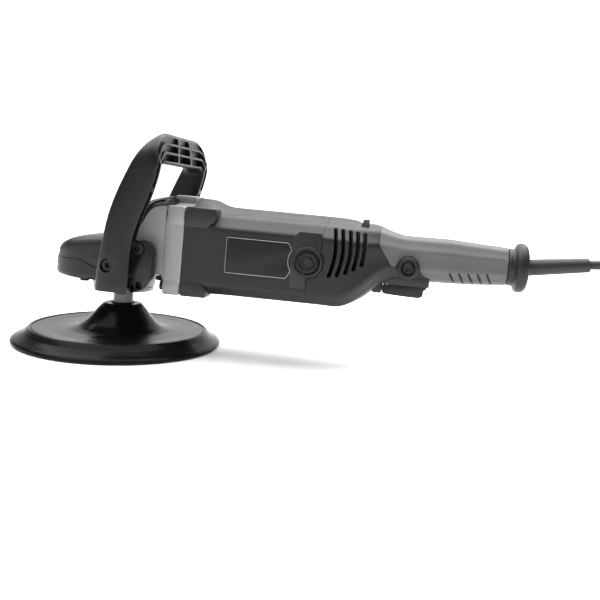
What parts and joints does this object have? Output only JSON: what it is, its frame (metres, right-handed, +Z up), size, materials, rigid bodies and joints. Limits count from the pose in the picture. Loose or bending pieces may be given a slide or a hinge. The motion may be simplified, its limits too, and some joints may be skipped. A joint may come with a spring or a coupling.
{
  "type": "rotary polisher",
  "caption": "Corded rotary polisher with a flared backing pad, D-shaped front loop handle, vented motor body, trigger grip and coiled lead.",
  "frame": {"origin": "centre of the pad's bottom face, on the spindle axis", "axes": "+X back along the motor to the cord, +Y to the side away from the lock button, +Z up along the spindle"},
  "size_m": [0.6965, 0.236, 0.19],
  "materials": {
    "housing_metal": "light grey powder-coated casting",
    "dark_plastic": "fine-textured dark grey moulding",
    "black_plastic": "satin black moulding",
    "black_rubber": "soft black rubber",
    "grip_rubber": "mid grey soft-touch rubber",
    "gloss_black": "glossy black urethane",
    "plate": "smooth dark plate with a pale rim line",
    "steel": "ground steel",
    "dark_steel": "black oxide steel",
    "brass": "brass",
    "copper": "enamelled copper wire",
    "carbon": "pressed carbon",
    "nickel": "nickel-plated pins",
    "hook": "hook fastening sheet",
    "fan_plastic": "dark moulded fan"
  },
  "bodies": {
    "body": {"gear_housing": "housing_metal", "bearing_retainer": "housing_metal", "spindle_bearing": "steel", "spindle_bush": "brass", "ring_gear": "dark_steel", "carrier_bearing": "steel", "gear_head_cover": "dark_plastic", "cover_band": "black_rubber", "nose_guard": "dark_plastic", "front_handle": "dark_plastic", "handle_bolts": "dark_steel", "gear_housing_screws": "dark_steel", "motor_housing": "dark_plastic", "bearing_plate": "housing_metal", "armature_bearings": "steel", "stator_core": "steel", "field_coils": "copper", "brush_holders": "brass", "carbon_brushes": "carbon", "brush_springs": "steel", "brush_caps": "black_plastic", "nameplates": "plate", "rear_housing_left": "dark_plastic", "rear_housing_right": "dark_plastic", "rear_housing_screws": "dark_steel", "grip_cover": "grip_rubber", "switch_body": "black_plastic", "speed_module": "black_plastic", "cord_clamp": "black_plastic", "cord_collar": "dark_plastic", "cord_sleeve": "black_rubber", "trigger_pin": "steel", "spindle_lock_spring": "steel", "power_cord": "black_rubber", "cord_coil": "black_rubber", "cord_tie": "black_plastic", "plug_body": "black_rubber", "plug_pins": "nickel"},
    "spindle": {"spindle": "steel", "crown_gear": "dark_steel", "pad_insert": "steel", "pad_backing": "gloss_black", "pad_cushion": "gloss_black", "hook_face": "hook"},
    "carrier": {"planet_carrier": "dark_steel", "bevel_pinion": "dark_steel"},
    "planet_1": {"planet_gear_1": "dark_steel"},
    "planet_2": {"planet_gear_2": "dark_steel"},
    "planet_3": {"planet_gear_3": "dark_steel"},
    "armature": {"armature_shaft": "steel", "armature_core": "steel", "armature_windings": "copper", "commutator": "copper", "cooling_fan": "fan_plastic"},
    "trigger": {"trigger": "black_plastic"},
    "plunger": {"switch_plunger": "black_plastic"},
    "lock_button": {"lock_button": "black_plastic"},
    "speed_dial": {"speed_dial": "black_plastic"},
    "spindle_lock": {"spindle_lock": "black_plastic"}
  },
  "joints": [
    {"name": "spindle_spin", "type": "hinge", "parent": "body", "child": "spindle", "pos_m": [0, 0, 0.05], "axis": [0, 0, 1], "continuous": true},
    {"name": "carrier_spin", "type": "hinge", "parent": "body", "child": "carrier", "pos_m": [0.05, 0, 0.0935], "axis": [1, 0, 0], "continuous": true},
    {"name": "armature_spin", "type": "hinge", "parent": "body", "child": "armature", "pos_m": [0.12, 0, 0.0935], "axis": [1, 0, 0], "continuous": true},
    {"name": "planet_1_spin", "type": "hinge", "parent": "carrier", "child": "planet_1", "pos_m": [0.06, 0, 0.0755], "axis": [1, 0, 0], "continuous": true},
    {"name": "planet_2_spin", "type": "hinge", "parent": "carrier", "child": "planet_2", "pos_m": [0.06, 0.01559, 0.1025], "axis": [1, 0, 0], "continuous": true},
    {"name": "planet_3_spin", "type": "hinge", "parent": "carrier", "child": "planet_3", "pos_m": [0.06, -0.01559, 0.1025], "axis": [1, 0, 0], "continuous": true},
    {"name": "trigger_pull", "type": "hinge", "parent": "body", "child": "trigger", "pos_m": [0.2423, 0, 0.0796], "axis": [0, -1, 0], "range_deg": [0, 7], "stiffness_Nm_per_rad": 0.6, "springref_deg": -5.73},
    {"name": "plunger_slide", "type": "slide", "parent": "body", "child": "plunger", "axis": [0, 0, 1], "range_m": [0, 0.0035]},
    {"name": "lock_button_push", "type": "slide", "parent": "body", "child": "lock_button", "axis": [0, 1, 0], "range_m": [0, 0.004], "stiffness_N_per_m": 200, "springref_m": -0.001},
    {"name": "speed_dial_turn", "type": "hinge", "parent": "body", "child": "speed_dial", "pos_m": [0.2185, 0, 0.1204], "axis": [1, 0, 0], "range_deg": [0, 270]},
    {"name": "spindle_lock_push", "type": "slide", "parent": "body", "child": "spindle_lock", "axis": [0, 0, 1], "range_m": [0, 0.004], "stiffness_N_per_m": 300, "springref_m": -0.001, "deforming": ["spindle_lock_spring"]}
  ],
  "couplings": [
    {"joint": "carrier_spin", "follows": "spindle_spin", "ratio": 3.3333},
    {"joint": "armature_spin", "follows": "spindle_spin", "ratio": 11.429},
    {"joint": "planet_1_spin", "follows": "spindle_spin", "ratio": -11.333},
    {"joint": "planet_2_spin", "follows": "spindle_spin", "ratio": -11.333},
    {"joint": "planet_3_spin", "follows": "spindle_spin", "ratio": -11.333},
    {"joint": "plunger_slide", "follows": "trigger_pull", "m_per_rad": 0.0257}
  ]
}
